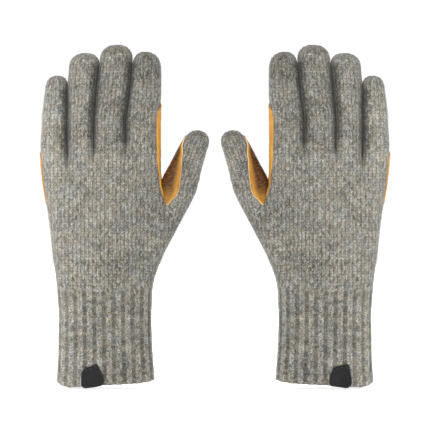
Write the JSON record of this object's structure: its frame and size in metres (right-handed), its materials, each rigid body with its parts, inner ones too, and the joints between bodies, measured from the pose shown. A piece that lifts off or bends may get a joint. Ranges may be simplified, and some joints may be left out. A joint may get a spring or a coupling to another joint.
{
  "type": "pair of knitted gloves",
  "caption": "Pair of ribbed-cuff knitted wool gloves with leather palms, finger fronts and a folded leather hem tab; wrists, fingers and thumbs bend.",
  "frame": {"origin": "on the plane of the two hems, midway between the gloves", "axes": "+X from the left-hand glove to the right-hand glove, +Y out of the palms, +Z from the hem to the fingertips"},
  "size_m": [0.2958, 0.0386, 0.288],
  "materials": {
    "knit": "grey melange ragg wool, plain knit",
    "rib_knit": "grey melange ragg wool, ribbed knit",
    "palm_leather": "soft golden-tan deerskin, matte",
    "tab_leather": "matte black leather",
    "tab_thread": "black sewing thread"
  },
  "bodies": {
    "left_cuff": {"left_cuff": "rib_knit", "left_tab": "tab_leather", "left_tab_thread": "tab_thread"},
    "left_hand": {"left_hand": "knit", "left_palm_leather": "palm_leather"},
    "left_index_base": {"left_index_base": "knit", "left_index_base_leather": "palm_leather"},
    "left_index_tip": {"left_index_tip": "knit", "left_index_tip_leather": "palm_leather"},
    "left_middle_base": {"left_middle_base": "knit", "left_middle_base_leather": "palm_leather"},
    "left_middle_tip": {"left_middle_tip": "knit", "left_middle_tip_leather": "palm_leather"},
    "left_ring_base": {"left_ring_base": "knit", "left_ring_base_leather": "palm_leather"},
    "left_ring_tip": {"left_ring_tip": "knit", "left_ring_tip_leather": "palm_leather"},
    "left_little_base": {"left_little_base": "knit", "left_little_base_leather": "palm_leather"},
    "left_little_tip": {"left_little_tip": "knit", "left_little_tip_leather": "palm_leather"},
    "left_thumb_base": {"left_thumb_base": "knit", "left_thumb_base_leather": "palm_leather"},
    "left_thumb_tip": {"left_thumb_tip": "knit", "left_thumb_tip_leather": "palm_leather"},
    "right_cuff": {"right_cuff": "rib_knit", "right_tab": "tab_leather", "right_tab_thread": "tab_thread"},
    "right_hand": {"right_hand": "knit", "right_palm_leather": "palm_leather"},
    "right_index_base": {"right_index_base": "knit", "right_index_base_leather": "palm_leather"},
    "right_index_tip": {"right_index_tip": "knit", "right_index_tip_leather": "palm_leather"},
    "right_middle_base": {"right_middle_base": "knit", "right_middle_base_leather": "palm_leather"},
    "right_middle_tip": {"right_middle_tip": "knit", "right_middle_tip_leather": "palm_leather"},
    "right_ring_base": {"right_ring_base": "knit", "right_ring_base_leather": "palm_leather"},
    "right_ring_tip": {"right_ring_tip": "knit", "right_ring_tip_leather": "palm_leather"},
    "right_little_base": {"right_little_base": "knit", "right_little_base_leather": "palm_leather"},
    "right_little_tip": {"right_little_tip": "knit", "right_little_tip_leather": "palm_leather"},
    "right_thumb_base": {"right_thumb_base": "knit", "right_thumb_base_leather": "palm_leather"},
    "right_thumb_tip": {"right_thumb_tip": "knit", "right_thumb_tip_leather": "palm_leather"}
  },
  "joints": [
    {"name": "left_wrist", "type": "hinge", "parent": "left_cuff", "child": "left_hand", "pos_m": [-0.092, 0, 0.09465], "axis": [-1, 0, 0], "range_deg": [-40, 40]},
    {"name": "left_index_root_fold", "type": "hinge", "parent": "left_hand", "child": "left_index_base", "pos_m": [-0.05903, 0.012, 0.213], "axis": [-1, 0, 0], "range_deg": [0, 80]},
    {"name": "left_index_middle_fold", "type": "hinge", "parent": "left_index_base", "child": "left_index_tip", "pos_m": [-0.05787, 0.012, 0.24474], "axis": [-1, 0, 0], "range_deg": [0, 85]},
    {"name": "left_middle_root_fold", "type": "hinge", "parent": "left_hand", "child": "left_middle_base", "pos_m": [-0.08785, 0.012, 0.213], "axis": [-1, 0, 0], "range_deg": [0, 80]},
    {"name": "left_middle_middle_fold", "type": "hinge", "parent": "left_middle_base", "child": "left_middle_tip", "pos_m": [-0.08546, 0.012, 0.2475], "axis": [-1, 0, 0], "range_deg": [0, 85]},
    {"name": "left_ring_root_fold", "type": "hinge", "parent": "left_hand", "child": "left_ring_base", "pos_m": [-0.11413, 0.012, 0.209], "axis": [-1, 0, 0], "range_deg": [0, 80]},
    {"name": "left_ring_middle_fold", "type": "hinge", "parent": "left_ring_base", "child": "left_ring_tip", "pos_m": [-0.11183, 0.012, 0.24212], "axis": [-1, 0, 0], "range_deg": [0, 85]},
    {"name": "left_little_root_fold", "type": "hinge", "parent": "left_hand", "child": "left_little_base", "pos_m": [-0.13676, 0.01, 0.203], "axis": [-1, 0, 0], "range_deg": [0, 80]},
    {"name": "left_little_middle_fold", "type": "hinge", "parent": "left_little_base", "child": "left_little_tip", "pos_m": [-0.13458, 0.01, 0.23014], "axis": [-1, 0, 0], "range_deg": [0, 85]},
    {"name": "left_thumb_root_fold", "type": "hinge", "parent": "left_hand", "child": "left_thumb_base", "pos_m": [-0.02779, 0.01175, 0.17], "axis": [-0.9272, 0, 0.3746], "range_deg": [0, 45]},
    {"name": "left_thumb_middle_fold", "type": "hinge", "parent": "left_thumb_base", "child": "left_thumb_tip", "pos_m": [-0.01934, 0.01175, 0.1909], "axis": [-0.9272, 0, 0.3746], "range_deg": [0, 65]},
    {"name": "right_wrist", "type": "hinge", "parent": "right_cuff", "child": "right_hand", "pos_m": [0.092, 0, 0.09465], "axis": [-1, 0, 0], "range_deg": [-40, 40]},
    {"name": "right_index_root_fold", "type": "hinge", "parent": "right_hand", "child": "right_index_base", "pos_m": [0.05903, 0.012, 0.213], "axis": [-1, 0, 0], "range_deg": [0, 80]},
    {"name": "right_index_middle_fold", "type": "hinge", "parent": "right_index_base", "child": "right_index_tip", "pos_m": [0.05787, 0.012, 0.24474], "axis": [-1, 0, 0], "range_deg": [0, 85]},
    {"name": "right_middle_root_fold", "type": "hinge", "parent": "right_hand", "child": "right_middle_base", "pos_m": [0.08785, 0.012, 0.213], "axis": [-1, 0, 0], "range_deg": [0, 80]},
    {"name": "right_middle_middle_fold", "type": "hinge", "parent": "right_middle_base", "child": "right_middle_tip", "pos_m": [0.08546, 0.012, 0.2475], "axis": [-1, 0, 0], "range_deg": [0, 85]},
    {"name": "right_ring_root_fold", "type": "hinge", "parent": "right_hand", "child": "right_ring_base", "pos_m": [0.11413, 0.012, 0.209], "axis": [-1, 0, 0], "range_deg": [0, 80]},
    {"name": "right_ring_middle_fold", "type": "hinge", "parent": "right_ring_base", "child": "right_ring_tip", "pos_m": [0.11183, 0.012, 0.24212], "axis": [-1, 0, 0], "range_deg": [0, 85]},
    {"name": "right_little_root_fold", "type": "hinge", "parent": "right_hand", "child": "right_little_base", "pos_m": [0.13676, 0.01, 0.203], "axis": [-1, 0, 0], "range_deg": [0, 80]},
    {"name": "right_little_middle_fold", "type": "hinge", "parent": "right_little_base", "child": "right_little_tip", "pos_m": [0.13458, 0.01, 0.23014], "axis": [-1, 0, 0], "range_deg": [0, 85]},
    {"name": "right_thumb_root_fold", "type": "hinge", "parent": "right_hand", "child": "right_thumb_base", "pos_m": [0.02779, 0.01175, 0.17], "axis": [-0.9272, 0, -0.3746], "range_deg": [0, 45]},
    {"name": "right_thumb_middle_fold", "type": "hinge", "parent": "right_thumb_base", "child": "right_thumb_tip", "pos_m": [0.01934, 0.01175, 0.1909], "axis": [-0.9272, 0, -0.3746], "range_deg": [0, 65]},
    {"name": "pair_slide", "type": "slide", "parent": "left_cuff", "child": "right_cuff", "axis": [1, 0, 0], "range_m": [0, 0.2]}
  ]
}
